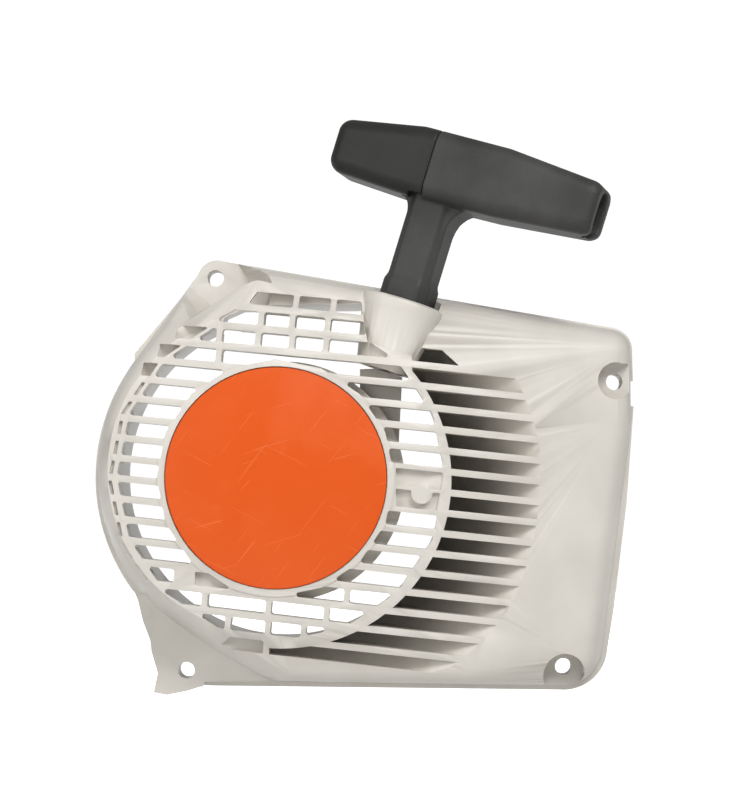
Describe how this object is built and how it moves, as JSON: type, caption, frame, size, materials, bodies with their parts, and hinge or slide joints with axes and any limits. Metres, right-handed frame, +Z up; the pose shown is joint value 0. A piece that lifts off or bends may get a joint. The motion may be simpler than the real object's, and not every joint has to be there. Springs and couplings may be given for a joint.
{
  "type": "recoil starter",
  "caption": "Chainsaw recoil starter: barred plastic fan housing with an orange front disc, rewinding rope rotor inside and a black T-shaped pull handle.",
  "frame": {"origin": "crank axis at the face that is bolted to the engine", "axes": "+Z up in the picture, +Y along the crank axis towards the engine, the front faces -Y"},
  "size_m": [0.1741, 0.0489, 0.1827],
  "materials": {
    "housing_plastic": "satin",
    "orange_disc": "gloss",
    "grip_plastic": "grained",
    "cap_plastic": "satin",
    "dark_plastic": "satin",
    "bush_plastic": "satin",
    "steel": "satin",
    "spring_steel": "satin",
    "bronze": "satin",
    "rope": "braided"
  },
  "bodies": {
    "housing": {"fan_housing": "housing_plastic", "front_disc": "orange_disc", "axle_post": "steel", "rope_guard": "housing_plastic", "guard_screw": "steel", "rope_bush": "bush_plastic", "spring_case": "dark_plastic", "rewind_spring": "spring_steel", "spring_cover": "steel"},
    "rotor": {"rope_rotor": "dark_plastic", "rotor_bush": "bronze", "clip_washer": "steel", "rope_coil": "rope", "rotor_knot": "rope"},
    "clip": {"pawl_clip": "spring_steel"},
    "pawl_1": {"pawl_a": "steel"},
    "pawl_2": {"pawl_b": "steel"},
    "handle": {"handle_grip": "grip_plastic", "handle_cap": "cap_plastic", "knot_washer": "steel", "grip_knot": "rope", "rope_run": "rope"}
  },
  "joints": [
    {"name": "handle_pull", "type": "slide", "parent": "housing", "child": "handle", "axis": [0.2924, 0, 0.9563], "range_m": [0, 0.6], "stiffness_N_per_m": 25, "springref_m": -0.4, "deforming": ["rope_run"]},
    {"name": "rotor_turn", "type": "hinge", "parent": "housing", "child": "rotor", "pos_m": [0, -0.0246, 0], "axis": [0, -1, 0], "range_deg": [0, 1740]},
    {"name": "clip_drag", "type": "hinge", "parent": "rotor", "child": "clip", "pos_m": [0, -0.0154, 0], "axis": [0, 1, 0], "range_deg": [0, 9.2]},
    {"name": "pawl_1_swing", "type": "hinge", "parent": "rotor", "child": "pawl_1", "pos_m": [0.012, -0.0185, 0], "axis": [0, 1, 0], "range_deg": [0, 25.2]},
    {"name": "pawl_2_swing", "type": "hinge", "parent": "rotor", "child": "pawl_2", "pos_m": [-0.012, -0.0185, 0], "axis": [0, 1, 0], "range_deg": [0, 25.2]}
  ],
  "couplings": [
    {"joint": "rotor_turn", "follows": "handle_pull", "rad_per_m": 50.251},
    {"joint": "pawl_1_swing", "follows": "clip_drag", "ratio": 2.7143},
    {"joint": "pawl_2_swing", "follows": "clip_drag", "ratio": 2.7143}
  ]
}
